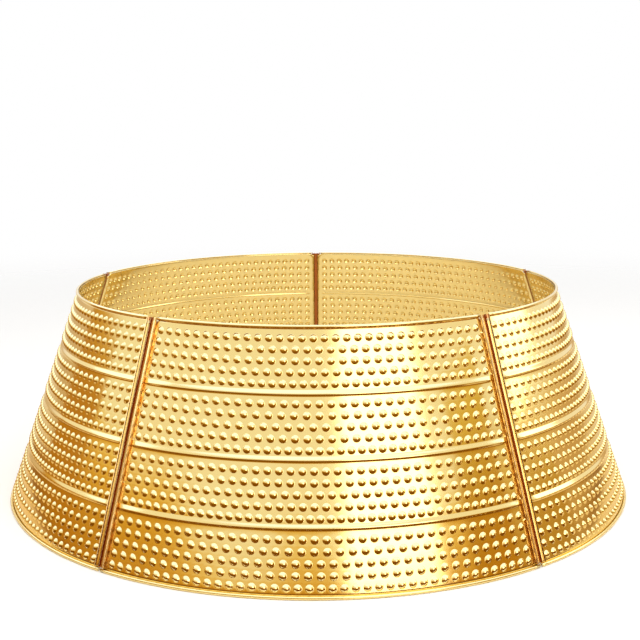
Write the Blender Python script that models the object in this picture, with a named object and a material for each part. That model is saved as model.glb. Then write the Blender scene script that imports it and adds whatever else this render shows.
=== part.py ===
"""A christmas tree collar: five pressed sheet panels held together by five sliding strips.

Lengths are in metres and +Z is up. The collar stands on z = 0 round the Z axis, and its
front panel faces -Y. Both its ends are open. Along each seam a folded strip covers the
curled edges of two panels, and it slides up the slope until it is clear of them.
"""

import math

import bmesh
import bpy
from mathutils import Vector

# The ring, measured on the outer face of the sheet.
BOTTOM_RADIUS = 0.3764
TOP_RADIUS = 0.2870
HEIGHT = 0.2470

# The sheet, and the gap that two pieces keep where they touch.
SHEET = 0.0005
TOUCH_GAP = 0.0003

# The hems rolled outwards along the bottom and top edges of each panel.
HEM_DIAMETER = 0.0048
BOTTOM_HEM_GAP = 0.0032
TOP_HEM_CLEARANCE = 0.0008
TOP_CORNER_CUT = 0.0020
HEM_TURN = math.radians(290)
HEM_STEP = math.radians(52)
HEM_FLAT_HALF_ANGLE = math.radians(20)

# The beads pressed outwards across each panel, between its bands.
BAND_COUNT = 4
BEAD_WIDTH = 0.0080
BEAD_HEIGHT = 0.0020
BEAD_STOP = 0.0090
BEAD_RUN_OUT = 0.0040
BEAD_OUTLINE_SHARES = ((-0.5, 0.0), (-0.25, 0.75), (0.0, 1.0), (0.25, 0.75), (0.5, 0.0))
PANEL_STEPS = 14
FLAT_COLUMNS = 2

# The joining strip: two rolls side by side, with a web between them.
ROLL_DIAMETER = 0.0041
ROLL_SPACING = 0.0080
ROLL_STEP = math.radians(30)
ROLL_TURN = math.radians(240)
EDGE_CURL_TURN = math.radians(210)

# Each piece's name, going round to the right from the front. Strip k joins panels k and k + 1.
PANEL_NAMES = ("panel_front", "panel_front_right", "panel_back_right", "panel_back_left", "panel_front_left")
STRIP_NAMES = ("strip_front_right", "strip_right", "strip_back", "strip_left", "strip_front_left")
FRONT_ANGLE = math.radians(-90)
SMOOTH_ANGLE = math.radians(35)

# Derived values: the slope, one panel's share of the circle, and the middle line of the sheet.
SLOPE = math.atan2(BOTTOM_RADIUS - TOP_RADIUS, HEIGHT)
PANEL_ANGLE = math.tau / len(PANEL_NAMES)
HALF_SHEET = SHEET / 2
HEM_RADIUS = HEM_DIAMETER / 2 - HALF_SHEET
ROLL_RADIUS = ROLL_DIAMETER / 2 - HALF_SHEET
EDGE_CURL_RADIUS = ROLL_RADIUS - SHEET - TOUCH_GAP
ROLL_OUT = TOUCH_GAP + ROLL_DIAMETER / 2
STRIP_HALF_WIDTH = ROLL_SPACING / 2 + ROLL_DIAMETER / 2
PANEL_EDGE = ROLL_SPACING / 2 - EDGE_CURL_RADIUS


def on_slope(along, out):
    """Return the radius and height of a point, from its place up the slope and out of the face."""
    radius = BOTTOM_RADIUS - along * math.sin(SLOPE) + out * math.cos(SLOPE)
    height = along * math.cos(SLOPE) + out * math.sin(SLOPE)
    return Vector((radius, height))


def along_at_height(height, out):
    """Return how far up the slope a point lies that has this height and this place out of the face."""
    return (height - out * math.sin(SLOPE)) / math.cos(SLOPE)


# How far up the slope the hems' middles, the strip's ends and the panel's cut corners lie.
HEM_RISE = HEM_RADIUS * math.cos(HEM_FLAT_HALF_ANGLE) + HALF_SHEET
BOTTOM_HEM_ALONG = along_at_height(HEM_RISE, HEM_RADIUS - HALF_SHEET)
TOP_HEM_ALONG = along_at_height(HEIGHT - HEM_RISE, HEM_RADIUS - HALF_SHEET)
STRIP_BOTTOM = BOTTOM_HEM_ALONG + HEM_DIAMETER / 2 + TOUCH_GAP
STRIP_TOP = along_at_height(HEIGHT, ROLL_OUT + ROLL_DIAMETER / 2)
EDGE_TOP = TOP_HEM_ALONG - TOP_CORNER_CUT


def clear_scene():
    """Remove every object that the scene starts with."""
    for item in list(bpy.data.objects):
        bpy.data.objects.remove(item, do_unlink=True)


def gold_material(name, colour, roughness):
    """Return a polished gold finish."""
    material = bpy.data.materials.new(name)
    material.use_nodes = True
    shader = material.node_tree.nodes["Principled BSDF"]
    shader.inputs["Base Color"].default_value = (*colour, 1.0)
    shader.inputs["Metallic"].default_value = 1.0
    shader.inputs["Roughness"].default_value = roughness
    return material


def add_object(name, mesh):
    """Put a mesh in the scene under a name."""
    item = bpy.data.objects.new(name, mesh)
    bpy.context.scene.collection.objects.link(item)
    return item


def arc_points(centre, radius, angles):
    """Return points on a circle at the given angles."""
    return [centre + radius * Vector((math.cos(a), math.sin(a))) for a in angles]


def spread(start, end, step):
    """Return the angles after start, up to end, in equal steps no longer than step."""
    count = max(1, math.ceil(abs(end - start) / step))
    return [start + (end - start) * k / count for k in range(1, count + 1)]


def thicken(path):
    """Return the two sides of a sheet whose middle line is the path, with mitred bends."""
    left, right = [], []
    for k, point in enumerate(path):
        before = (point - path[k - 1]).normalized() if k > 0 else None
        after = (path[k + 1] - point).normalized() if k < len(path) - 1 else None
        before, after = before or after, after or before
        direction = (before + after).normalized()
        normal = Vector((-direction.y, direction.x))
        reach = HALF_SHEET / direction.dot(after)
        left.append(point + normal * reach)
        right.append(point - normal * reach)
    return left, right


def hem_angles(start, flat, turn):
    """Return the angles of a hem's corners, with one flat side in the middle of its outside."""
    half = math.copysign(HEM_FLAT_HALF_ANGLE, turn)
    end = start + math.copysign(HEM_TURN, turn)
    return [start] + spread(start, flat - half, HEM_STEP) + [flat + half] + spread(flat + half, end, HEM_STEP)


def bead_stations(bead_height):
    """Return the middle line of the sheet across every bead, which may stand out or lie flat."""
    first, last = BOTTOM_HEM_ALONG, TOP_HEM_ALONG
    points = []
    for bead in range(1, BAND_COUNT):
        middle = first + (last - first) * bead / BAND_COUNT
        for across, up in BEAD_OUTLINE_SHARES:
            points.append(on_slope(middle + across * BEAD_WIDTH, up * bead_height - HALF_SHEET))
    return points


def panel_section(bead_height):
    """Return a panel's upright section as a middle line, from the bottom hem's tip to the top one's."""
    tangent = math.pi + SLOPE
    down, up = math.radians(270), math.radians(90)
    bottom = on_slope(BOTTOM_HEM_ALONG, HEM_RADIUS - HALF_SHEET)
    top = on_slope(TOP_HEM_ALONG, HEM_RADIUS - HALF_SHEET)
    bottom_hem = arc_points(bottom, HEM_RADIUS, hem_angles(tangent, down, 1))
    top_hem = arc_points(top, HEM_RADIUS, hem_angles(tangent, up, -1))
    low = [on_slope(STRIP_BOTTOM, -HALF_SHEET)]
    high = [on_slope(EDGE_TOP, -HALF_SHEET)]
    return bottom_hem[::-1] + low + bead_stations(bead_height) + high + top_hem


def section_edges():
    """Return how far each point of the section keeps from the seam at the panel's upright edges."""
    bottom_points = len(hem_angles(math.pi + SLOPE, math.radians(270), 1))
    top_points = len(hem_angles(math.pi + SLOPE, math.radians(90), -1))
    sheet_points = len(panel_section(BEAD_HEIGHT)) - bottom_points - top_points
    top_edge = STRIP_HALF_WIDTH + TOP_HEM_CLEARANCE
    return [BOTTOM_HEM_GAP / 2] * bottom_points + [PANEL_EDGE] * sheet_points + [top_edge] * top_points


def column_angles(edge, radius):
    """Return where the panel's columns stand at one radius, from one upright edge to the other.

    The outer three columns at each side keep a set distance from the seam: the edge itself,
    where a bead has run out, and where it has its full height.
    """
    distances = (edge, BEAD_STOP, BEAD_STOP + BEAD_RUN_OUT)
    side = [PANEL_ANGLE / 2 - math.asin(distance / radius) for distance in distances]
    inner = [side[-1] * (2 * k / PANEL_STEPS - 1) for k in range(1, PANEL_STEPS)]
    return [-angle for angle in side] + inner + side[::-1]


def sheet_grid(beaded, plain, edges):
    """Return the points of one face of a panel, column by column, its outer columns without beads."""
    rows = []
    for raised, flat, edge in zip(beaded, plain, edges):
        count = len(column_angles(edge, flat.x))
        row = []
        for k in range(count):
            point = raised if FLAT_COLUMNS <= k < count - FLAT_COLUMNS else flat
            angle = column_angles(edge, point.x)[k]
            row.append(Vector((point.x * math.cos(angle), point.x * math.sin(angle), point.y)))
        rows.append(row)
    return [list(column) for column in zip(*rows)]


def closed_sheet(name, outer, inner):
    """Return a mesh of a sheet between two faces of equal grids, closed all round its border."""
    model = bmesh.new()
    faces = [[[model.verts.new(point) for point in column] for column in grid] for grid in (outer, inner)]
    front, back = faces
    columns, stations = len(front), len(front[0])
    for grid in faces:
        for c in range(columns - 1):
            for s in range(stations - 1):
                model.faces.new((grid[c][s], grid[c + 1][s], grid[c + 1][s + 1], grid[c][s + 1]))
    for c in (0, columns - 1):
        for s in range(stations - 1):
            model.faces.new((front[c][s], front[c][s + 1], back[c][s + 1], back[c][s]))
    for s in (0, stations - 1):
        for c in range(columns - 1):
            model.faces.new((front[c][s], front[c + 1][s], back[c + 1][s], back[c][s]))
    bmesh.ops.recalc_face_normals(model, faces=model.faces)
    mesh = bpy.data.meshes.new(name)
    model.to_mesh(mesh)
    model.free()
    return mesh


def prism(name, outline, bottom, top):
    """Return a mesh of an outline, given as out and across, drawn from bottom to top up the slope."""
    model = bmesh.new()
    corners = [model.verts.new((point.x, point.y, bottom)) for point in outline]
    base = model.faces.new(corners)
    drawn = bmesh.ops.extrude_face_region(model, geom=[base])["geom"]
    lifted = [item for item in drawn if isinstance(item, bmesh.types.BMVert)]
    bmesh.ops.translate(model, verts=lifted, vec=(0, 0, top - bottom))
    bmesh.ops.recalc_face_normals(model, faces=model.faces)
    mesh = bpy.data.meshes.new(name)
    model.to_mesh(mesh)
    model.free()
    return mesh


def stand_on_seam(item, angle):
    """Set an object on a seam: its X points out of the face, its Y round the ring, its Z up the slope."""
    foot = on_slope(0, 0)
    item.location = (foot.x * math.cos(angle), foot.x * math.sin(angle), foot.y)
    item.rotation_euler = (0, -SLOPE, angle)


def roll_path(radius, turn):
    """Return a roll's middle line, as out and across, from its upright wall over the top to its lip."""
    centre = Vector((ROLL_OUT, ROLL_SPACING / 2))
    start = math.radians(-90)
    return arc_points(centre, radius, [start] + spread(start, start + turn, ROLL_STEP))


def strip_outline():
    """Return the joining strip's outline: a web, and at each side a wall that rolls over to a lip."""
    web_out = TOUCH_GAP + HALF_SHEET
    roll = roll_path(ROLL_RADIUS, ROLL_TURN)
    half = [Vector((web_out, ROLL_SPACING / 2 - ROLL_RADIUS))] + roll
    other_half = [Vector((point.x, -point.y)) for point in half]
    left, right = thicken(other_half[::-1] + half)
    return left + right[::-1]


def edge_curl_outline(side):
    """Return the outline of a panel's edge curl, which lies inside one roll of the strip.

    Its foot starts halfway into the sheet. Side is 1 or -1, for the side of the seam.
    """
    foot = Vector((-HALF_SHEET, PANEL_EDGE))
    path = [foot] + roll_path(EDGE_CURL_RADIUS, EDGE_CURL_TURN)
    left, right = thicken([Vector((point.x, side * point.y)) for point in path])
    return left + right[::-1]


def join_solid(target, addition):
    """Unite a second object with the first, and remove the second."""
    union = target.modifiers.new("join", 'BOOLEAN')
    union.operation = 'UNION'
    union.solver = 'EXACT'
    union.object = addition
    bpy.context.view_layer.objects.active = target
    bpy.ops.object.modifier_apply(modifier=union.name)
    bpy.data.objects.remove(addition, do_unlink=True)


def smooth_round_faces(mesh):
    """Shade a mesh smooth, apart from its folded edges."""
    mesh.shade_smooth()
    mesh.set_sharp_from_angle(angle=SMOOTH_ANGLE)


def make_panel_mesh():
    """Return the mesh that all panels share: the pressed sheet with a curl up each edge."""
    beaded = thicken(panel_section(BEAD_HEIGHT))
    plain = thicken(panel_section(0))
    edges = section_edges()
    faces = [sheet_grid(raised, flat, edges) for raised, flat in zip(beaded, plain)]
    sheet = add_object("sheet", closed_sheet("panel", *faces))
    for side in (-1, 1):
        outline = edge_curl_outline(-side)
        curl = add_object("curl", prism("curl", outline, STRIP_BOTTOM + TOUCH_GAP, EDGE_TOP - TOUCH_GAP))
        stand_on_seam(curl, side * PANEL_ANGLE / 2)
        join_solid(sheet, curl)
    mesh = sheet.data
    bpy.data.objects.remove(sheet, do_unlink=True)
    smooth_round_faces(mesh)
    return mesh


def add_panels(ring):
    """Set the panels round the ring, the first one at the front."""
    mesh = make_panel_mesh()
    mesh.materials.append(gold_material("panel_gold", (0.87, 0.58, 0.20), 0.22))
    for k, name in enumerate(PANEL_NAMES):
        panel = add_object(name, mesh)
        panel.rotation_euler = (0, 0, FRONT_ANGLE + k * PANEL_ANGLE)
        panel.parent = ring


def add_strips(ring):
    """Set a joining strip on every seam, its origin on the line that it slides along."""
    mesh = prism("joining_strip", strip_outline(), STRIP_BOTTOM, STRIP_TOP)
    mesh.materials.append(gold_material("strip_gold", (0.80, 0.50, 0.17), 0.20))
    smooth_round_faces(mesh)
    for k, name in enumerate(STRIP_NAMES):
        strip = add_object(name, mesh)
        stand_on_seam(strip, FRONT_ANGLE + (k + 0.5) * PANEL_ANGLE)
        strip.parent = ring


def main():
    """Build the whole collar."""
    clear_scene()
    ring = add_object("collar", None)
    add_panels(ring)
    add_strips(ring)


main()
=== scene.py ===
"""Looks of a round, tapering sheet-metal collar: five dimpled gold panels and five joining strips.

Lengths are in metres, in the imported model's frame: +Z is up, the collar stands on z = 0 round the
Z axis, and its front panel faces -Y. Panels and strips are shaped lying flat, where X runs along
the sheet's edge, Y up its slope and Z out of its face, and are then bent round the cone or stood
on their seams.
"""

import logging
import math
from dataclasses import dataclass, field
from enum import Enum

import bpy
import numpy as np
from mathutils import Euler, Matrix, Vector


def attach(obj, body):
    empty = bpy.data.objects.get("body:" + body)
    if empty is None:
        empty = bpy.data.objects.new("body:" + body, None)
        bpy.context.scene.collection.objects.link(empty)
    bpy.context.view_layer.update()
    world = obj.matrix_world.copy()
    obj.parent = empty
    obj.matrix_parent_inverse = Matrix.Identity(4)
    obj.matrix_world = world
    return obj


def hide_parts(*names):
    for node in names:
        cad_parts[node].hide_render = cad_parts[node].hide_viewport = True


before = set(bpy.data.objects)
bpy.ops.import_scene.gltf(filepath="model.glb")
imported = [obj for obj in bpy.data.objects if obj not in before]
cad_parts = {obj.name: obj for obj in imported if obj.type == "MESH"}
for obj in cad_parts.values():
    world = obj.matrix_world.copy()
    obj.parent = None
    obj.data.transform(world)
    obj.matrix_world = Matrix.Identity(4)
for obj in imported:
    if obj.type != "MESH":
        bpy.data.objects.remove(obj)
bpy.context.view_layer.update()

MM = 0.001
NEAR = 0.01 * MM  # points closer than this lie in the same place
WELD = 0.005 * MM  # points closer than this become one
LOG = logging.getLogger("collar")

Point = tuple[float, float, float]
Point2 = tuple[float, float]


def linear(code: str) -> tuple[float, float, float, float]:
    """Turn an sRGB hex colour into the linear values that shaders take.

    Args:
        code: six hex digits, such as "E8C060".

    Returns:
        Red, green, blue and an alpha of 1.
    """
    values = [int(code[k:k + 2], 16) / 255 for k in (0, 2, 4)]
    red, green, blue = (v / 12.92 if v <= 0.04045 else ((v + 0.055) / 1.055) ** 2.4 for v in values)
    return red, green, blue, 1.0


def add_node(tree: bpy.types.NodeTree, kind: str, settings: dict | None = None,
             links: dict | None = None) -> bpy.types.Node:
    """Add a node to a material with its settings and links.

    Args:
        tree: the material's node tree.
        kind: the node's type, such as "ShaderNodeTexNoise".
        settings: values by attribute name or by input name.
        links: output sockets by the name of the input that they feed.

    Returns:
        The node.
    """
    node = tree.nodes.new(kind)
    for name, value in (settings or {}).items():
        if hasattr(node, name):
            setattr(node, name, value)
        else:
            node.inputs[name].default_value = value
    for name, socket in (links or {}).items():
        tree.links.new(socket, node.inputs[name])
    return node


def work_on(piece: bpy.types.Object) -> bpy.types.Object:
    """Leave only this object selected, and make it the active one.

    Args:
        piece: the object to work on.

    Returns:
        The same object.
    """
    for other in bpy.context.selected_objects:
        other.select_set(False)
    piece.select_set(True)
    bpy.context.view_layer.objects.active = piece
    return piece


def clear_selection() -> None:
    """Deselect every object, before a primitive is added."""
    if bpy.context.object and bpy.context.object.mode != "OBJECT":
        bpy.ops.object.mode_set(mode="OBJECT")
    for other in bpy.context.selected_objects:
        other.select_set(False)


def coordinates(piece: bpy.types.Object) -> np.ndarray:
    """Return a mesh's points as an array with one row for each.

    Args:
        piece: a mesh object in object mode.

    Returns:
        An array of shape (points, 3).
    """
    found = np.empty(len(piece.data.vertices) * 3, np.float32)
    piece.data.vertices.foreach_get("co", found)
    return found.reshape(-1, 3).astype(float)


def place_points(piece: bpy.types.Object, points: np.ndarray) -> None:
    """Move a mesh's points to new places.

    Args:
        piece: a mesh object in object mode.
        points: an array of shape (points, 3).
    """
    piece.data.vertices.foreach_set("co", points.astype(np.float32).ravel())
    piece.data.update()


def select_edges(piece: bpy.types.Object, wanted: np.ndarray) -> None:
    """Go into edit mode with only those edges selected whose two ends are wanted.

    Args:
        piece: a mesh object in object mode.
        wanted: one truth value for each point.
    """
    mesh = piece.data
    ends = np.empty(len(mesh.edges) * 2, np.int32)
    mesh.edges.foreach_get("vertices", ends)
    chosen = wanted[ends.reshape(-1, 2)].all(1)
    mesh.vertices.foreach_set("select", wanted.astype(bool))
    mesh.edges.foreach_set("select", chosen)
    mesh.polygons.foreach_set("select", np.zeros(len(mesh.polygons), bool))
    work_on(piece)
    bpy.context.tool_settings.mesh_select_mode = (False, True, False)
    bpy.ops.object.mode_set(mode="EDIT")


def delete_faces(piece: bpy.types.Object, unwanted: np.ndarray) -> None:
    """Delete the unwanted faces of a mesh.

    Args:
        piece: a mesh object in object mode.
        unwanted: one truth value for each face.
    """
    mesh = piece.data
    mesh.vertices.foreach_set("select", np.zeros(len(mesh.vertices), bool))
    mesh.edges.foreach_set("select", np.zeros(len(mesh.edges), bool))
    mesh.polygons.foreach_set("select", unwanted.astype(bool))
    work_on(piece)
    bpy.context.tool_settings.mesh_select_mode = (False, False, True)
    bpy.ops.object.mode_set(mode="EDIT")
    bpy.ops.mesh.delete(type="FACE")
    bpy.ops.object.mode_set(mode="OBJECT")


def apply_modifier(piece: bpy.types.Object, kind: str, settings: dict) -> None:
    """Add a modifier to an object and apply it at once.

    Args:
        piece: the object.
        kind: the modifier's type, such as "ARRAY".
        settings: its values by name.
    """
    work_on(piece)
    modifier = piece.modifiers.new(kind.lower(), kind)
    for name, value in settings.items():
        setattr(modifier, name, value)
    bpy.ops.object.modifier_apply(modifier=modifier.name)


def give_thickness(piece: bpy.types.Object, thickness: float) -> None:
    """Thicken a sheet's middle layer equally to both sides.

    Args:
        piece: the sheet's middle layer.
        thickness: the sheet's thickness.
    """
    apply_modifier(piece, "SOLIDIFY", {
        "thickness": thickness, "offset": 0.0, "use_even_offset": False, "use_quality_normals": True})


def mark_points(piece: bpy.types.Object, name: str, values: np.ndarray) -> None:
    """Keep a number for each point in a mesh's attribute.

    Args:
        piece: the mesh object.
        name: the attribute's name.
        values: one number for each point.
    """
    marks = piece.data.attributes.get(name) or piece.data.attributes.new(name, "FLOAT", "POINT")
    marks.data.foreach_set("value", np.asarray(values, np.float32))


def point_marks(piece: bpy.types.Object, name: str) -> np.ndarray:
    """Return what mark_points has kept.

    Args:
        piece: the mesh object.
        name: the attribute's name.

    Returns:
        One number for each point.
    """
    found = np.empty(len(piece.data.vertices), np.float32)
    piece.data.attributes[name].data.foreach_get("value", found)
    return found


def keep_flat_places(piece: bpy.types.Object) -> None:
    """Keep where each point lies on the flat sheet, for the grain of its finish."""
    places = piece.data.attributes.new("flat_place", "FLOAT_VECTOR", "POINT")
    places.data.foreach_set("vector", coordinates(piece).astype(np.float32).ravel())


def copy_of(model: bpy.types.Object, name: str) -> bpy.types.Object:
    """Add a copy of an object to the scene, with a mesh of its own.

    Args:
        model: the object that is copied.
        name: the name of the copy and of its mesh.

    Returns:
        The copy.
    """
    piece = model.copy()
    piece.data = model.data.copy()
    bpy.context.scene.collection.objects.link(piece)
    piece.name = piece.data.name = name
    return piece


def join_all(parts: list[bpy.types.Object], name: str) -> bpy.types.Object:
    """Join objects into the first one.

    Args:
        parts: the objects, of which the first is kept.
        name: the joined object's new name.

    Returns:
        The joined object.
    """
    work_on(parts[0])
    for part in parts[1:]:
        part.select_set(True)
    bpy.ops.object.join()
    parts[0].name = name
    return parts[0]


@dataclass(frozen=True)
class Cone:
    """The cone that the sheet's outer face follows, and a panel's share of it."""

    bottom_radius: float = 376.4 * MM
    top_radius: float = 287.0 * MM
    height: float = 247.0 * MM
    panels: int = 5

    @property
    def slope(self) -> float:
        """Angle between the sheet and the upright."""
        return math.atan2(self.bottom_radius - self.top_radius, self.height)

    @property
    def panel_angle(self) -> float:
        """One panel's share of the circle."""
        return math.tau / self.panels

    def along(self, height: float) -> float:
        """Distance up the slope at which the sheet reaches a height."""
        return height / math.cos(self.slope)

    def radius(self, along: np.ndarray | float) -> np.ndarray | float:
        """Radius of the sheet at a distance up the slope."""
        return self.bottom_radius - along * math.sin(self.slope)

    def half_width(self, along: np.ndarray | float, gap: float) -> np.ndarray | float:
        """Half of a panel's width at a distance up the slope, less its gap from the seam."""
        return self.radius(along) * self.panel_angle / 2 - gap

    def bend(self, laid_flat: np.ndarray) -> np.ndarray:
        """Bend a flat panel round the cone, with its middle on the +X side.

        Args:
            laid_flat: points as distance round the ring, up the slope and out of the face.

        Returns:
            The bent points, of the same shape.
        """
        around, along, out = laid_flat.T
        angle = around / self.radius(along)
        radius = self.radius(along) + out * math.cos(self.slope)
        height = along * math.cos(self.slope) + out * math.sin(self.slope)
        return np.stack([radius * np.cos(angle), radius * np.sin(angle), height], -1)

    def stand_on_seam(self, angle: float) -> Matrix:
        """Return the matrix that stands a flat strip on a seam.

        Args:
            angle: the seam's direction from the Z axis, in radians.

        Returns:
            A matrix that takes X across the seam, Y up the slope and Z out of the face.
        """
        foot = Vector((self.bottom_radius * math.cos(angle), self.bottom_radius * math.sin(angle), 0))
        turn = Euler((0, -self.slope, angle)).to_matrix()
        out, across, up = turn.col
        axes = Matrix((across, up, out)).transposed()
        return Matrix.Translation(foot) @ axes.to_4x4()


@dataclass(frozen=True)
class Dimple:
    """One round dimple, pressed outwards, in the middle of its own rectangle of sheet."""

    section: tuple[Point2, ...] = (
        (4.25 * MM, 0.0), (3.65 * MM, 0.45 * MM), (2.7 * MM, 1.35 * MM), (1.4 * MM, 2.1 * MM),
        (0.0, 2.35 * MM))
    field_height: float = 8.6 * MM
    sides: int = 12
    rim_share: float = 1.12  # radius of the flat disc that is pressed, by the foot's radius
    past_foot: float = 1.01  # a point beyond this share of the foot's radius is on the rim

    @property
    def radius(self) -> float:
        """Radius of the dimple's foot."""
        return self.section[0][0]

    def model(self) -> bpy.types.Object:
        """Press one dimple: inset a disc to its foot, raise it ring by ring, and square up its rim.

        Returns:
            The tile, centred on the origin.
        """
        clear_selection()
        rim = self.radius * self.rim_share
        cosine = math.cos(math.pi / self.sides)
        bpy.ops.mesh.primitive_circle_add(vertices=self.sides, radius=rim, fill_type="NGON",
                                          rotation=(0, 0, math.pi / self.sides))
        tile = bpy.context.object
        bpy.ops.object.transform_apply(location=False, rotation=True, scale=False)
        bpy.ops.object.mode_set(mode="EDIT")
        bpy.ops.mesh.select_mode(type="FACE")
        bpy.ops.mesh.select_all(action="SELECT")
        bpy.ops.mesh.inset(thickness=(rim - self.radius) * cosine, depth=0)
        for (outer, low), (inner, high) in zip(self.section[:-2], self.section[1:-1]):
            bpy.ops.mesh.inset(thickness=(outer - inner) * cosine, depth=high - low)
        bpy.ops.mesh.poke(offset=self.section[-1][1] - self.section[-2][1])
        bpy.ops.object.mode_set(mode="OBJECT")
        distance = np.hypot(*coordinates(tile)[:, :2].T)
        mark_points(tile, "foot", np.abs(distance - self.radius) < NEAR)
        self.square_up(tile, 2 * rim)
        return tile

    def square_up(self, tile: bpy.types.Object, width: float) -> None:
        """Move the tile's rim onto a rectangle: four corners, and two points along each side.

        Args:
            tile: the dimple's tile, centred on the origin.
            width: the rectangle's width.
        """
        points = coordinates(tile)
        on_rim = np.hypot(points[:, 0], points[:, 1]) > self.radius * self.past_foot
        x, y = points[on_rim, 0], points[on_rim, 1]
        near_side = np.abs(x) / np.abs(x).max() > 0.5
        near_end = np.abs(y) / np.abs(y).max() > 0.5
        points[on_rim, 0] = np.sign(x) * width / np.where(near_side, 2, 6)
        points[on_rim, 1] = np.sign(y) * self.field_height / np.where(near_end, 2, 6)
        place_points(tile, points)


@dataclass(frozen=True)
class PressedSheet:
    """The flat sheet that panels are bent from: four bands of dimples, three beads, hems and curls."""

    cone: Cone = field(default_factory=Cone)
    dimple: Dimple = field(default_factory=Dimple)
    sheet: float = 0.5 * MM
    dimples_by_row: tuple[tuple[int, ...], ...] = (
        (41, 37, 37, 36, 38), (43, 38, 37, 36, 36), (39, 33, 32, 31, 33), (36, 32, 31, 31, 32))
    first_row: float = 9.5 * MM
    row_step: float = 10.6 * MM
    band_step: float = 60.75 * MM
    first_dimple: float = 13.2 * MM
    row_end: float = 1.0 * MM
    side_edge: float = 3.0 * MM
    first_bead: float = 59.27 * MM
    bead_step: float = 60.3 * MM
    bead_section: tuple[Point2, ...] = (
        (0.0, 0.0), (0.5 * MM, 0.03 * MM), (1.5 * MM, 0.3 * MM), (1.95 * MM, 0.62 * MM),
        (2.35 * MM, 1.05 * MM), (2.7 * MM, 1.22 * MM), (3.6 * MM, 1.02 * MM), (4.8 * MM, 0.68 * MM),
        (6.0 * MM, 0.33 * MM), (6.95 * MM, 0.05 * MM), (7.3 * MM, 0.0))
    bead_columns: int = 120
    bead_end: float = 7.6 * MM
    bead_run_out: float = 5.0 * MM
    hem_radius: float = 1.55 * MM
    hem_turn: float = math.radians(300)
    hem_steps: int = 18
    hem_columns: int = 60
    hem_support: float = 0.3 * MM
    bottom_hem: float = 1.444 * MM
    top_hem: float = 260.3 * MM
    bottom_hem_edge: float = 1.6 * MM
    top_hem_edge: float = 6.85 * MM
    low_edge: float = 4.727 * MM
    high_edge: float = 257.279 * MM
    drawn_in: float = math.radians(8)
    curl_radius: float = 1.0 * MM
    curl_out: float = 2.35 * MM
    curl_turn: float = math.radians(210)
    curl_steps: int = 10

    @property
    def middle(self) -> float:
        """Place of the sheet's middle layer, out of its outer face."""
        return -self.sheet / 2

    @property
    def first_field(self) -> float:
        """Level up the slope at which the lowest row of dimples starts."""
        return self.cone.along(self.first_row) - self.dimple.field_height / 2

    def model(self) -> bpy.types.Object:
        """Model the sheet's middle layer, lying flat.

        Returns:
            The sheet, whose points hold their flat places in an attribute too.
        """
        strips = self.dimple_rows() + self.beads() + self.hem_strips()
        levels = sorted((coordinates(s)[:, 1].min(), coordinates(s)[:, 1].max()) for s in strips)
        sheet = join_all(strips, "pressed_sheet")
        for (_, below), (above, _) in zip(levels, levels[1:]):
            self.bridge(sheet, below, above)
        self.roll_hem(sheet, self.bottom_hem, 1)
        self.roll_hem(sheet, self.top_hem, -1)
        for side in (-1, 1):
            self.curl_edge(sheet, side)
        work_on(sheet)
        bpy.ops.object.mode_set(mode="EDIT")
        bpy.ops.mesh.select_all(action="SELECT")
        bpy.ops.mesh.remove_doubles(threshold=WELD)
        bpy.ops.mesh.normals_make_consistent(inside=False)
        bpy.ops.object.mode_set(mode="OBJECT")
        return sheet

    def dimple_rows(self) -> list[bpy.types.Object]:
        """Lay out every row of dimples, each evenly spaced between the same two margins.

        Returns:
            One strip for each row.
        """
        tile = self.dimple.model()
        rows = []
        for band, counts in enumerate(self.dimples_by_row):
            for row, count in enumerate(counts):
                height = self.first_row + band * self.band_step + row * self.row_step
                rows.append(self.dimple_row(tile, self.cone.along(height), count))
        bpy.data.objects.remove(tile, do_unlink=True)
        return rows

    def dimple_row(self, tile: bpy.types.Object, along: float, count: int) -> bpy.types.Object:
        """Copy the dimple along one row, and draw the row's ends out to the sheet's edges.

        Args:
            tile: the dimple that is copied.
            along: the row's distance up the slope.
            count: how many dimples the row has.

        Returns:
            The row as one strip.
        """
        pitch = 2 * self.cone.half_width(along, self.first_dimple) / (count - 1)
        work_on(tile)
        bpy.ops.object.duplicate()
        row = bpy.context.object
        self.dimple.square_up(row, pitch)
        apply_modifier(row, "ARRAY", {
            "count": count, "use_relative_offset": False, "use_constant_offset": True,
            "constant_offset_displace": (pitch, 0, 0), "use_merge_vertices": True,
            "merge_threshold": NEAR})
        place_points(row, coordinates(row) + [-(count - 1) / 2 * pitch, along, self.middle])
        end = count / 2 * pitch
        for side in (-1, 1):
            select_edges(row, coordinates(row)[:, 0] * side > end - NEAR)
            bpy.ops.mesh.extrude_region_move(
                TRANSFORM_OT_translate={"value": (side * self.row_end, 0, 0)})
            bpy.ops.object.mode_set(mode="OBJECT")
            points = coordinates(row)
            drawn = points[:, 0] * side > end + self.row_end / 2
            points[drawn, 0] = side * self.cone.half_width(points[drawn, 1], self.side_edge)
            place_points(row, points)
        return row

    def strip(self, columns: int, steps: int, low: float, high: float) -> bpy.types.Object:
        """Add a plain strip across the sheet, to be given its form.

        Args:
            columns: how many faces it has along its length.
            steps: how many faces it has up the slope.
            low: its lower edge, up the slope.
            high: its upper edge, up the slope.

        Returns:
            The strip, one unit to each side of the middle.
        """
        clear_selection()
        bpy.ops.mesh.primitive_grid_add(x_subdivisions=columns, y_subdivisions=steps, size=2)
        strip = bpy.context.object
        points = coordinates(strip)
        points[:, 1] = low + (points[:, 1] + 1) / 2 * (high - low)
        points[:, 2] = self.middle
        place_points(strip, points)
        return strip

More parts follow.
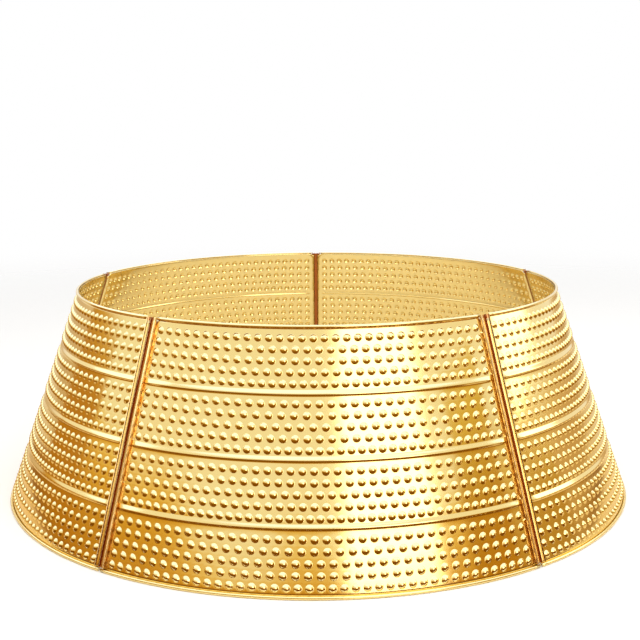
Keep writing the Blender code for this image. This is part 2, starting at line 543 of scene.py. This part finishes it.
    def beads(self) -> list[bpy.types.Object]:
        """Press the beads between the bands.

        Each has a short underside that steepens and a long top that leans back, and it fades out
        before the panel's upright edges.

        Returns:
            One strip for each bead.
        """
        level, ridge = np.array(self.bead_section).T
        width, steps = level[-1], len(level) - 1
        made = []
        for number in range(len(self.dimples_by_row) - 1):
            foot = self.cone.along(self.first_bead + number * self.bead_step)
            bead = self.strip(self.bead_columns, steps, foot, foot + width)
            points = coordinates(bead)
            step = np.rint((points[:, 1] - foot) / width * steps).astype(int)
            points[:, 1] = foot + level[step]
            points[:, 0] *= self.cone.half_width(points[:, 1], self.side_edge)
            gap = self.cone.half_width(points[:, 1], 0) - np.abs(points[:, 0])
            fade = np.clip((gap - self.bead_end) / self.bead_run_out, 0, 1)
            points[:, 2] += ridge[step] * fade ** 2 * (3 - 2 * fade)
            place_points(bead, points)
            made.append(bead)
        return made

    def hem_strips(self) -> list[bpy.types.Object]:
        """Add the plain strips between the outer rows and the hems, cut back at their corners.

        Returns:
            The bottom strip and the top one.
        """
        made = []
        for hem, hem_gap, edge in ((self.bottom_hem, self.bottom_hem_edge, self.low_edge),
                                   (self.top_hem, self.top_hem_edge, self.high_edge)):
            inward = math.copysign(self.hem_support, edge - hem)
            strip = self.strip(self.hem_columns, 2, *sorted((hem, edge)))
            points = coordinates(strip)
            middle = np.abs(points[:, 1] - (hem + edge) / 2) < NEAR
            points[middle, 1] = hem + inward
            share = (points[:, 1] - hem) / (edge - hem)
            gap = hem_gap + share * (self.side_edge - hem_gap)
            points[:, 0] *= self.cone.half_width(points[:, 1], gap)
            place_points(strip, points)
            made.append(strip)
        return made

    def bridge(self, sheet: bpy.types.Object, below: float, above: float) -> None:
        """Close the gap between two neighbouring strips.

        Args:
            sheet: the joined strips.
            below: the level of the lower strip's upper edge.
            above: the level of the upper strip's lower edge.
        """
        levels = coordinates(sheet)[:, 1]
        select_edges(sheet, (np.abs(levels - below) < NEAR) | (np.abs(levels - above) < NEAR))
        bpy.ops.mesh.bridge_edge_loops()
        bpy.ops.object.mode_set(mode="OBJECT")

    def roll_hem(self, sheet: bpy.types.Object, level: float, direction: int) -> None:
        """Roll an edge outwards into a hem.

        Args:
            sheet: the sheet.
            level: where the roll starts, up the slope.
            direction: 1 for the bottom edge and -1 for the top edge.
        """
        select_edges(sheet, np.abs(coordinates(sheet)[:, 1] - level) < NEAR)
        bpy.ops.mesh.spin(steps=self.hem_steps, angle=-direction * self.hem_turn, axis=(1, 0, 0),
                          center=(0, level, self.middle + self.hem_radius))
        bpy.ops.object.mode_set(mode="OBJECT")

    def curl_edge(self, sheet: bpy.types.Object, side: int) -> None:
        """Turn an upright edge out of the face and curl it back over its own panel.

        Args:
            sheet: the sheet.
            side: 1 for the edge at the right and -1 for the one at the left.
        """
        points = coordinates(sheet)
        at_edge = points[:, 0] * side > self.cone.half_width(points[:, 1], self.side_edge) - NEAR
        in_reach = (points[:, 1] > self.low_edge - NEAR) & (points[:, 1] < self.high_edge + NEAR)
        flat = np.abs(points[:, 2] - self.middle) < NEAR
        select_edges(sheet, at_edge & in_reach & flat)
        bpy.ops.mesh.extrude_region_move(
            TRANSFORM_OT_translate={"value": (0, 0, self.curl_out - self.middle)})
        gap = self.side_edge + self.curl_radius
        low, high = (Vector((side * self.cone.half_width(level, gap), level, self.curl_out))
                     for level in (self.low_edge, self.high_edge))
        bpy.ops.mesh.spin(steps=self.curl_steps, angle=-side * self.curl_turn,
                          axis=(high - low).normalized(), center=low)
        bpy.ops.object.mode_set(mode="OBJECT")


class Facing(Enum):
    """Where a panel stands, counted to the right from the front."""

    FRONT = 0
    FRONT_RIGHT = 1
    BACK_RIGHT = 2
    BACK_LEFT = 3
    FRONT_LEFT = 4


class Seam(Enum):
    """Where a joining strip stands, counted to the right from the front."""

    FRONT_RIGHT = 0
    RIGHT = 1
    BACK = 2
    LEFT = 3
    FRONT_LEFT = 4


@dataclass(frozen=True)
class PlatedGold:
    """Bright gold plating on thin steel, under a clear lacquer.

    Plating follows the steel's grain: pressed sheet has a faint orange peel, which keeps reflections
    clear but soft at their edges, and drawn strip has fine lengthwise lines, which spread them
    sideways. A strip's folds and the groove between its rolls have painted shade in their colour, a
    darker, redder gold, and the plating is a little duller where it was handled.
    """

    name: str
    gold: str = "F5DA8E"
    # colour of the painted shade in a strip's folds and groove; None paints none
    painted_fold_shade: str | None = None
    roughness: float = 0.10
    handled: float = 0.06
    grain: Point = (2.4 * MM, 2.4 * MM, 2.4 * MM)
    grain_strength: float = 0.05
    grain_depth: float = 0.1 * MM
    handled_patch: float = 70 * MM
    handled_range: Point2 = (0.3, 0.7)
    lacquer: float = 0.15
    lacquer_roughness: float = 0.12

    def coat(self, piece: bpy.types.Object) -> None:
        """Give a piece this finish and no other.

        Args:
            piece: a mesh object with its flat places kept.
        """
        piece.data.materials.clear()
        piece.data.materials.append(bpy.data.materials.get(self.name) or self.material())

    def material(self) -> bpy.types.Material:
        """Make the finish: mirror-like gold, with soft-edged reflections and patches a little duller.

        Returns:
            The material.
        """
        material = bpy.data.materials.new(self.name)
        material.use_nodes = True
        tree = material.node_tree
        tree.nodes.clear()
        place = add_node(tree, "ShaderNodeAttribute", {"attribute_name": "flat_place"}).outputs["Vector"]
        clouds = add_node(tree, "ShaderNodeTexNoise", {"Scale": 1 / self.handled_patch, "Detail": 3.0},
                          {"Vector": place})
        stretched = add_node(tree, "ShaderNodeMapping", {"Scale": [1 / length for length in self.grain]},
                             {"Vector": place})
        grain = add_node(tree, "ShaderNodeTexNoise", {"Scale": 1.0, "Detail": 2.0},
                         {"Vector": stretched.outputs["Vector"]})
        dull = add_node(tree, "ShaderNodeMapRange", {
            "From Min": self.handled_range[0], "From Max": self.handled_range[1],
            "To Min": self.roughness, "To Max": self.roughness + self.handled},
            {"Value": clouds.outputs["Fac"]})
        bump = add_node(tree, "ShaderNodeBump", {
            "Strength": self.grain_strength, "Distance": self.grain_depth},
            {"Height": grain.outputs["Fac"]})
        shader = add_node(tree, "ShaderNodeBsdfPrincipled", {
            "Base Color": linear(self.gold), "Metallic": 1.0,
            "Coat Weight": self.lacquer, "Coat Roughness": self.lacquer_roughness},
            {"Roughness": dull.outputs[0], "Normal": bump.outputs[0]})
        if self.painted_fold_shade:
            self.paint_fold_shade(tree, shader)
        add_node(tree, "ShaderNodeOutputMaterial", {}, {"Surface": shader.outputs[0]})
        return material

    def paint_fold_shade(self, tree: bpy.types.NodeTree, shader: bpy.types.Node) -> None:
        """Paint shade into the colour: a darker, redder gold where the mesh is marked as lying in a fold.

        Args:
            tree: the material's nodes.
            shader: its shader.
        """
        folded = add_node(tree, "ShaderNodeAttribute", {"attribute_name": "painted_fold_shade"}).outputs["Fac"]
        gold = add_node(tree, "ShaderNodeMix", {"data_type": "RGBA"})
        # Mix has an A, a B and a Result for every kind of value, so its colours go by number.
        share, plain, red, mixed = gold.inputs[0], gold.inputs[6], gold.inputs[7], gold.outputs[2]
        plain.default_value = linear(self.gold)
        red.default_value = linear(self.painted_fold_shade)
        tree.links.new(folded, share)
        tree.links.new(mixed, shader.inputs["Base Color"])


@dataclass
class DimpledPanels:
    """The five panels of the ring, bent from one pressed sheet."""

    cone: Cone = field(default_factory=Cone)
    sheet: PressedSheet = field(default_factory=PressedSheet)
    finish: PlatedGold = field(default_factory=lambda: PlatedGold("gold_plated_pressed_steel"))
    sag: float = 0.12 * MM
    waves: tuple[Point, ...] = ((41, 23, 0.7), (67, -38, 2.1))  # radians a metre round and up, and a start
    sharp_fold: float = math.radians(38)

    def build(self) -> list[bpy.types.Object]:
        """Bend one panel, give it its thickness, and set five of it round the ring.

        Returns:
            The panels.
        """
        model = self.bent_panel()
        points = coordinates(model)
        panels = []
        for facing in Facing:
            panel = copy_of(model, "dimpled_panel_" + facing.name.lower())
            angle = facing.value * self.cone.panel_angle - math.pi / 2
            place_points(panel, self.turned(points, angle))
            self.dress(panel, "panel_" + facing.name.lower())
            panels.append(panel)
        bpy.data.objects.remove(model, do_unlink=True)
        return panels

    def bent_panel(self) -> bpy.types.Object:
        """Bend one panel round the cone and give it the sheet's thickness.

        Returns:
            The panel, with its middle on the +X side.
        """
        panel = self.sheet.model()
        keep_flat_places(panel)
        flat = coordinates(panel)
        place_points(panel, self.cone.bend(flat + self.oil_canning(flat)))
        give_thickness(panel, self.sheet.sheet)
        bent = coordinates(panel)
        bent[:, 2] = np.clip(bent[:, 2], 0, self.cone.height)
        place_points(panel, bent)
        work_on(panel)
        bpy.ops.object.shade_smooth_by_angle(angle=self.sharp_fold)
        self.soften_feet(panel)
        return panel

    def soften_feet(self, panel: bpy.types.Object) -> None:
        """Let every dimple's foot shade like the sheet round it, so that the metal flows into it.

        Args:
            panel: the bent panel.
        """
        points, at_foot = coordinates(panel), point_marks(panel, "foot") > 0.5
        own = np.empty(len(points) * 3, np.float32)
        panel.data.vertices.foreach_get("normal", own)
        angle = np.arctan2(points[:, 1], points[:, 0])
        cosine, sine = math.cos(self.cone.slope), math.sin(self.cone.slope)
        outward = np.stack([np.cos(angle) * cosine, np.sin(angle) * cosine, np.full_like(angle, sine)], -1)
        outward *= np.sign((outward * own.reshape(-1, 3)).sum(1))[:, None]
        panel.data.normals_split_custom_set_from_vertices(np.where(at_foot[:, None], outward, 0).tolist())

    def oil_canning(self, flat: np.ndarray) -> np.ndarray:
        """Find how pressing leaves thin sheet off its cone: slight waves, and a drawn-in foot.

        Args:
            flat: points of the flat sheet.

        Returns:
            Each point's move, out of the face.
        """
        around, along, _ = flat.T
        waves = sum(np.sin(around * across + along * up + start) for across, up, start in self.waves)
        foot = np.clip(self.sheet.first_field - along, 0, None)
        moves = np.zeros_like(flat)
        moves[:, 2] = self.sag * waves / 2 - foot * math.tan(self.sheet.drawn_in)
        return moves

    @staticmethod
    def turned(points: np.ndarray, angle: float) -> np.ndarray:
        """Return points turned round the Z axis by an angle."""
        cosine, sine = math.cos(angle), math.sin(angle)
        return points @ np.array([[cosine, sine, 0], [-sine, cosine, 0], [0, 0, 1]])

    def dress(self, panel: bpy.types.Object, node: str) -> None:
        """Give a panel its finish, and let it stand for its CAD node.

        Args:
            panel: the panel.
            node: the name of its CAD node.
        """
        self.finish.coat(panel)
        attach(panel, "ring")
        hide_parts(node)


@dataclass
class JoiningStrips:
    """The five folded strips that slide down over the seams."""

    cone: Cone = field(default_factory=Cone)
    # The strips' folds and the groove between their rolls get painted shade, a darker red-brown gold.
    finish: PlatedGold = field(default_factory=lambda: PlatedGold(
        # The strips' gold is a darker, redder copy of the panels' gold: painted shade for light bounced
        # between their gold rolls.
        "gold_plated_drawn_steel", gold="E6C68C", painted_fold_shade="A55A24", roughness=0.22,
        grain=(0.8 * MM, 90 * MM, 0.8 * MM), grain_strength=1.0, grain_depth=0.35 * MM))
    sheet: float = 0.5 * MM
    web_out: float = 0.55 * MM
    roll_radius: float = 2.05 * MM
    roll_apart: float = 8.0 * MM
    roll_out: float = 2.6 * MM
    roll_turn: float = math.radians(240)
    roll_steps: int = 16
    # depth above the web over which the painted fold shade fades out
    painted_fold_shade_depth: float = 1.3 * MM
    bottom: float = 4.427 * MM
    top: float = 261.02 * MM
    cuts: int = 60
    sharp_fold: float = math.radians(38)

    def build(self) -> list[bpy.types.Object]:
        """Fold one strip, and stand it on every seam.

        Returns:
            The strips.
        """
        model = self.folded_strip()
        flat = coordinates(model)
        strips = []
        for seam in Seam:
            strip = copy_of(model, "folded_strip_" + seam.name.lower())
            angle = (seam.value + 0.5) * self.cone.panel_angle - math.pi / 2
            matrix = np.array(self.cone.stand_on_seam(angle))
            place_points(strip, flat @ matrix[:3, :3].T + matrix[:3, 3])
            self.dress(strip, "strip_" + seam.name.lower())
            strips.append(strip)
        bpy.data.objects.remove(model, do_unlink=True)
        return strips

    def folded_strip(self) -> bpy.types.Object:
        """Fold a strip lying flat: a web whose two sides stand up and roll over.

        Returns:
            The strip.
        """
        clear_selection()
        bpy.ops.mesh.primitive_grid_add(x_subdivisions=2, y_subdivisions=self.cuts, size=2)
        strip = bpy.context.object
        points = coordinates(strip)
        half_web = self.roll_apart / 2 - self.roll_radius
        points[:, 0] *= half_web
        points[:, 1] = self.bottom + (points[:, 1] + 1) / 2 * (self.top - self.bottom)
        points[:, 2] = self.web_out
        place_points(strip, points)
        for side in (-1, 1):
            points = coordinates(strip)
            select_edges(strip, np.abs(points[:, 0] - side * half_web) < NEAR)
            bpy.ops.mesh.extrude_region_move(
                TRANSFORM_OT_translate={"value": (0, 0, self.roll_out - self.web_out)})
            bpy.ops.mesh.spin(steps=self.roll_steps, angle=side * self.roll_turn, axis=(0, 1, 0),
                              center=(side * self.roll_apart / 2, 0, self.roll_out))
            bpy.ops.object.mode_set(mode="OBJECT")
        height = coordinates(strip)[:, 2]
        # Painted shade: full on the web between the rolls, fading out a little way up the rolls' sides.
        mark_points(strip, "painted_fold_shade", np.clip(1 - (height - self.web_out) / self.painted_fold_shade_depth, 0, 1))
        keep_flat_places(strip)
        give_thickness(strip, self.sheet)
        work_on(strip)
        bpy.ops.object.shade_smooth_by_angle(angle=self.sharp_fold)
        return strip

    def dress(self, strip: bpy.types.Object, node: str) -> None:
        """Give a strip its finish, and let it stand for its CAD node and slide with it.

        Args:
            strip: the strip.
            node: the name of its CAD node, which is its body's name too.
        """
        self.finish.coat(strip)
        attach(strip, node)
        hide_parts(node)


WALL = 2.6  # distance of the upright boards from the middle
HEM_EDGE = 0.3840  # where the boards on the floor start, just outside the bottom hems
MAT = 0.3 * MM  # height at which the boards on the floor lie


@dataclass(frozen=True)
class Board:
    """A board that only the metal's reflections show, as a studio's walls and floor do."""

    name: str
    near: float
    far: float
    low: float
    crest: tuple[Point2, ...]
    shades: tuple[tuple[float, str], ...]
    strength: float = 1.0

    def material(self) -> bpy.types.Material:
        """Make the board's paint: even light in shades from its lower or nearer edge to the other.

        Returns:
            The material.
        """
        material = bpy.data.materials.new("painted_" + self.name)
        material.use_nodes = True
        tree = material.node_tree
        tree.nodes.clear()
        share = add_node(tree, "ShaderNodeAttribute", {"attribute_name": "share"}).outputs["Fac"]
        shades = add_node(tree, "ShaderNodeValToRGB", {}, {"Fac": share})
        stops = shades.color_ramp.elements
        while len(stops) < len(self.shades):
            stops.new(1.0)
        for stop, (place, code) in zip(stops, self.shades):
            stop.position, stop.color = place, linear(code)
        paint = add_node(tree, "ShaderNodeEmission", {"Strength": self.strength},
                         {"Color": shades.outputs["Color"]})
        add_node(tree, "ShaderNodeOutputMaterial", {}, {"Surface": paint.outputs[0]})
        return material


@dataclass(frozen=True)
class Lamp:
    """A soft lamp. Its brightness is how bright its face looks, where 1 is white."""

    name: str
    place: Point
    size: Point2
    brightness: float
    mirrored: bool = True


@dataclass
class Studio:
    """Pale floor, white surround, soft lamps and the camera."""

    eye: Point = (-0.00720, -1.35740, 0.45024)
    aim: Point = (79.48226, 0.36710, -0.51766)
    lens: float = 62.557
    sensor: float = 36.0
    floor_size: float = 24.0
    floor_drop: float = 0.1 * MM
    floor_colour: str = "F4F3F1"
    floor_fades: Point2 = (0.9, 2.6)
    surround_light: float = 0.8
    boards: tuple[Board, ...] = (
        Board("wall", near=WALL, far=WALL, low=0.0,
              crest=((-95, 0.58), (-88, 0.54), (-75, 0.67), (-66, 0.70), (-58, 0.82), (-50, 0.80),
                     (-42, 0.70), (-28, 0.65), (-18, 0.68), (-9, 0.85), (1, 0.85), (8, 0.69), (40, 0.70),
                     (67.5, 0.90)),
              shades=((0.0, "4A280A"), (0.04, "4A280A"), (0.12, "B87A1C"), (0.50, "CC9836"),
                      (0.75, "E2B244"), (0.90, "F6DC88"), (1.0, "FFFFFF"))),
        Board("cupboard", near=2.5, far=2.5, low=0.05, crest=((50, 1.02), (67.5, 1.02)),
              shades=((0.0, "BE861C"), (0.42, "BE861C"), (0.58, "C89C40"), (0.72, "D2AD46"),
                      (0.85, "E0C05A"), (1.0, "EDD589"))),
        Board("right_wall", near=WALL, far=WALL, low=0.0, crest=((67.5, 0.80), (82, 0.78), (95, 0.56)),
              shades=((0.0, "7A5A30"), (0.05, "B48838"), (0.45, "C79D4B"), (0.75, "E4C880"),
                      (1.0, "FFFFFF"))),
        Board("far_right_wall", near=WALL, far=WALL, low=0.0,
              crest=((95, 0.56), (108, 0.48), (125, 0.30), (180, 0.24)),
              shades=((0.0, "C8A468"), (0.06, "CCA870"), (0.55, "D4B080"), (0.80, "EAD0A0"),
                      (1.0, "FFFFFF"))),
        Board("left_wall", near=WALL, far=WALL, low=0.0, crest=((-120, 0.72), (-95, 0.78)),
              shades=((0.0, "B07820"), (0.08, "BC8224"), (0.60, "C08A34"), (0.85, "D6A834"),
                      (1.0, "FFFFFF"))),
        Board("far_left_wall", near=WALL, far=WALL, low=0.0,
              crest=((-180, 0.24), (-150, 0.24), (-135, 0.45), (-120, 0.66)),
              shades=((0.0, "D0B488"), (0.08, "D2B68C"), (0.60, "DCC2A0"), (1.0, "FFFFFF"))),
        Board("skylight", near=0.02, far=2.5, low=2.4, crest=((-180, 2.4), (180, 2.4)),
              shades=((0.0, "DCE6FF"), (0.45, "CCDAFF"), (1.0, "C0D2FF")), strength=2.4),
        Board("left_screen", near=WALL, far=2.3, low=1.2, crest=((-180, 2.2), (-72.5, 2.2)),
              shades=((0.0, "D0DEFF"), (1.0, "C8D8FF")), strength=2.5),
        Board("right_screen", near=2.7, far=2.3, low=1.45, crest=((77.5, 2.2), (180, 2.2)),
              shades=((0.0, "D0DEFF"), (1.0, "C8D8FF")), strength=2.5),
        Board("front_floor", near=HEM_EDGE, far=WALL, low=MAT, crest=((-52.5, MAT), (47.5, MAT)),
              shades=((0.0, "845412"), (0.02, "804F0C"), (0.06, "88560E"), (0.12, "96681E"),
                      (0.35, "A88036"), (1.0, "B08840"))),
        Board("right_floor", near=HEM_EDGE, far=WALL, low=MAT, crest=((47.5, MAT), (107.5, MAT)),
              shades=((0.0, "FFE8C0"), (0.10, "F4D8A8"), (0.14, "86561A"), (0.4, "A4742C"),
                      (1.0, "B88A40"))),
        Board("far_right_floor", near=HEM_EDGE, far=WALL, low=MAT, crest=((107.5, MAT), (180, MAT)),
              shades=((0.0, "F0DCB8"), (1.0, "E2C8A0"))),
        Board("left_floor", near=HEM_EDGE, far=WALL, low=MAT, crest=((-117.5, MAT), (-52.5, MAT)),
              shades=((0.0, "FFE0B0"), (0.08, "F0D0A0"), (0.12, "8E5C18"), (0.3, "AC7622"),
                      (1.0, "B88228"))),
        Board("far_left_floor", near=HEM_EDGE, far=WALL, low=MAT, crest=((-180, MAT), (-117.5, MAT)),
              shades=((0.0, "F0DCB8"), (1.0, "E0C8A4"))))
    board_columns: int = 144
    lamps: tuple[Lamp, ...] = (
        Lamp("overhead_lamp", place=(0.0, -0.5, 2.3), size=(2.4, 2.0), brightness=2.0, mirrored=False),
        Lamp("tall_lamp_1", place=(0.92, -2.07, 0.86), size=(1.53, 1.5), brightness=0.15),
        Lamp("tall_lamp_2", place=(0.928, -2.088, 0.86), size=(1.42, 1.5), brightness=0.3),
        Lamp("tall_lamp_3", place=(0.936, -2.106, 0.86), size=(1.30, 1.5), brightness=0.6),
        Lamp("tall_lamp_4", place=(0.944, -2.124, 0.86), size=(1.19, 1.5), brightness=1.2),
        Lamp("window", place=(2.4, 0.14, 0.94), size=(1.0, 0.72), brightness=2.0))
    lamp_aim: Point = (0.0, 0.0, 0.12)

    def build(self) -> None:
        """Set up the whole studio."""
        bpy.context.scene.view_settings.view_transform = "Standard"
        self.add_camera()
        self.add_floor()
        self.add_surround()
        for board in self.boards:
            self.add_board(board)
        for lamp in self.lamps:
            self.add_lamp(lamp)

    def add_camera(self) -> None:
        """Put the camera where the photograph was taken from."""
        camera = bpy.data.cameras.new("camera")
        camera.lens = self.lens
        camera.sensor_width = self.sensor
        item = bpy.data.objects.new("camera", camera)
        item.location = self.eye
        item.rotation_euler = [math.radians(a) for a in self.aim]
        bpy.context.scene.collection.objects.link(item)
        bpy.context.scene.camera = item

    def add_floor(self) -> None:
        """Lay the pale floor just under the hems, and let it run out into the white surround.

        Its matt white paint takes the collar's soft shadow and shows next to no shine.
        """
        clear_selection()
        bpy.ops.mesh.primitive_plane_add(size=self.floor_size, location=(0, 0, -self.floor_drop))
        floor = bpy.context.object
        floor.name = "floor"
        material = bpy.data.materials.new("matt_white_floor")
        material.use_nodes = True
        tree = material.node_tree
        tree.nodes.clear()
        place = add_node(tree, "ShaderNodeTexCoord").outputs["Object"]
        far = add_node(tree, "ShaderNodeVectorMath", {"operation": "LENGTH"})
        tree.links.new(place, far.inputs[0])
        fade = add_node(tree, "ShaderNodeMapRange", {
            "interpolation_type": "SMOOTHSTEP",
            "From Min": self.floor_fades[0], "From Max": self.floor_fades[1]},
            {"Value": far.outputs["Value"]})
        paint = add_node(tree, "ShaderNodeBsdfPrincipled", {
            "Base Color": linear(self.floor_colour), "Roughness": 0.9, "Specular IOR Level": 0.1})
        clear = add_node(tree, "ShaderNodeBsdfTransparent")
        both = add_node(tree, "ShaderNodeMixShader")
        tree.links.new(fade.outputs[0], both.inputs[0])
        tree.links.new(paint.outputs[0], both.inputs[1])
        tree.links.new(clear.outputs[0], both.inputs[2])
        add_node(tree, "ShaderNodeOutputMaterial", {}, {"Surface": both.outputs[0]})
        floor.data.materials.append(material)

    def add_surround(self) -> None:
        """Surround the set with plain white, dimmer as a light than as a background."""
        world = bpy.data.worlds.new("white_surround")
        world.use_nodes = True
        tree = world.node_tree
        tree.nodes.clear()
        path = add_node(tree, "ShaderNodeLightPath").outputs
        seen = add_node(tree, "ShaderNodeMath", {"operation": "ADD", "use_clamp": True})
        mirrored = add_node(tree, "ShaderNodeMath", {"operation": "ADD", "use_clamp": True})
        tree.links.new(path["Is Camera Ray"], seen.inputs[0])
        tree.links.new(path["Is Glossy Ray"], mirrored.inputs[0])
        tree.links.new(path["Is Transmission Ray"], mirrored.inputs[1])
        tree.links.new(mirrored.outputs[0], seen.inputs[1])
        level = add_node(tree, "ShaderNodeMapRange", {"To Min": self.surround_light, "To Max": 1.0},
                         {"Value": seen.outputs[0]})
        white = add_node(tree, "ShaderNodeBackground", {"Color": linear("FFFFFF")},
                         {"Strength": level.outputs[0]})
        add_node(tree, "ShaderNodeOutputWorld", {}, {"Surface": white.outputs[0]})
        bpy.context.scene.world = world

    def add_board(self, board: Board) -> None:
        """Stand a board round the set.

        Args:
            board: its sizes and colours.
        """
        clear_selection()
        bpy.ops.mesh.primitive_cylinder_add(vertices=self.board_columns, radius=1, depth=2,
                                            end_fill_type="NOTHING")
        item = bpy.context.object
        item.name = board.name
        points = coordinates(item)
        share = (points[:, 2] > 0).astype(float)
        turns, heights = np.array(board.crest).T
        high = np.interp(np.degrees(np.arctan2(points[:, 0], -points[:, 1])), turns, heights)
        radius = board.near + share * (board.far - board.near)
        points[:, :2] *= radius[:, None]
        points[:, 2] = board.low + share * (high - board.low)
        place_points(item, points)
        mark_points(item, "share", share)
        faced = np.array([math.degrees(math.atan2(f.center.x, -f.center.y)) for f in item.data.polygons])
        delete_faces(item, (faced < turns[0]) | (faced > turns[-1]))
        item.data.materials.append(board.material())
        item.visible_camera = item.visible_diffuse = item.visible_shadow = False

    def add_lamp(self, lamp: Lamp) -> None:
        """Hang a lamp so that it faces the middle of the collar.

        Args:
            lamp: its place, size and brightness.
        """
        light = bpy.data.lights.new(lamp.name, "AREA")
        light.shape = "RECTANGLE"
        light.size, light.size_y = lamp.size
        light.energy = lamp.brightness * math.pi * lamp.size[0] * lamp.size[1]
        item = bpy.data.objects.new(lamp.name, light)
        item.location = lamp.place
        facing = Vector(self.lamp_aim) - Vector(lamp.place)
        item.rotation_euler = facing.to_track_quat("-Z", "Y").to_euler()
        item.visible_glossy = lamp.mirrored
        bpy.context.scene.collection.objects.link(item)


def main() -> None:
    """Build the collar and its studio."""
    logging.basicConfig(level=logging.INFO, format="%(message)s")
    for made in (DimpledPanels(), JoiningStrips()):
        for piece in made.build():
            LOG.info("%s: %d faces", piece.name, len(piece.data.polygons))
    Studio().build()


if __name__ == "__main__":
    main()
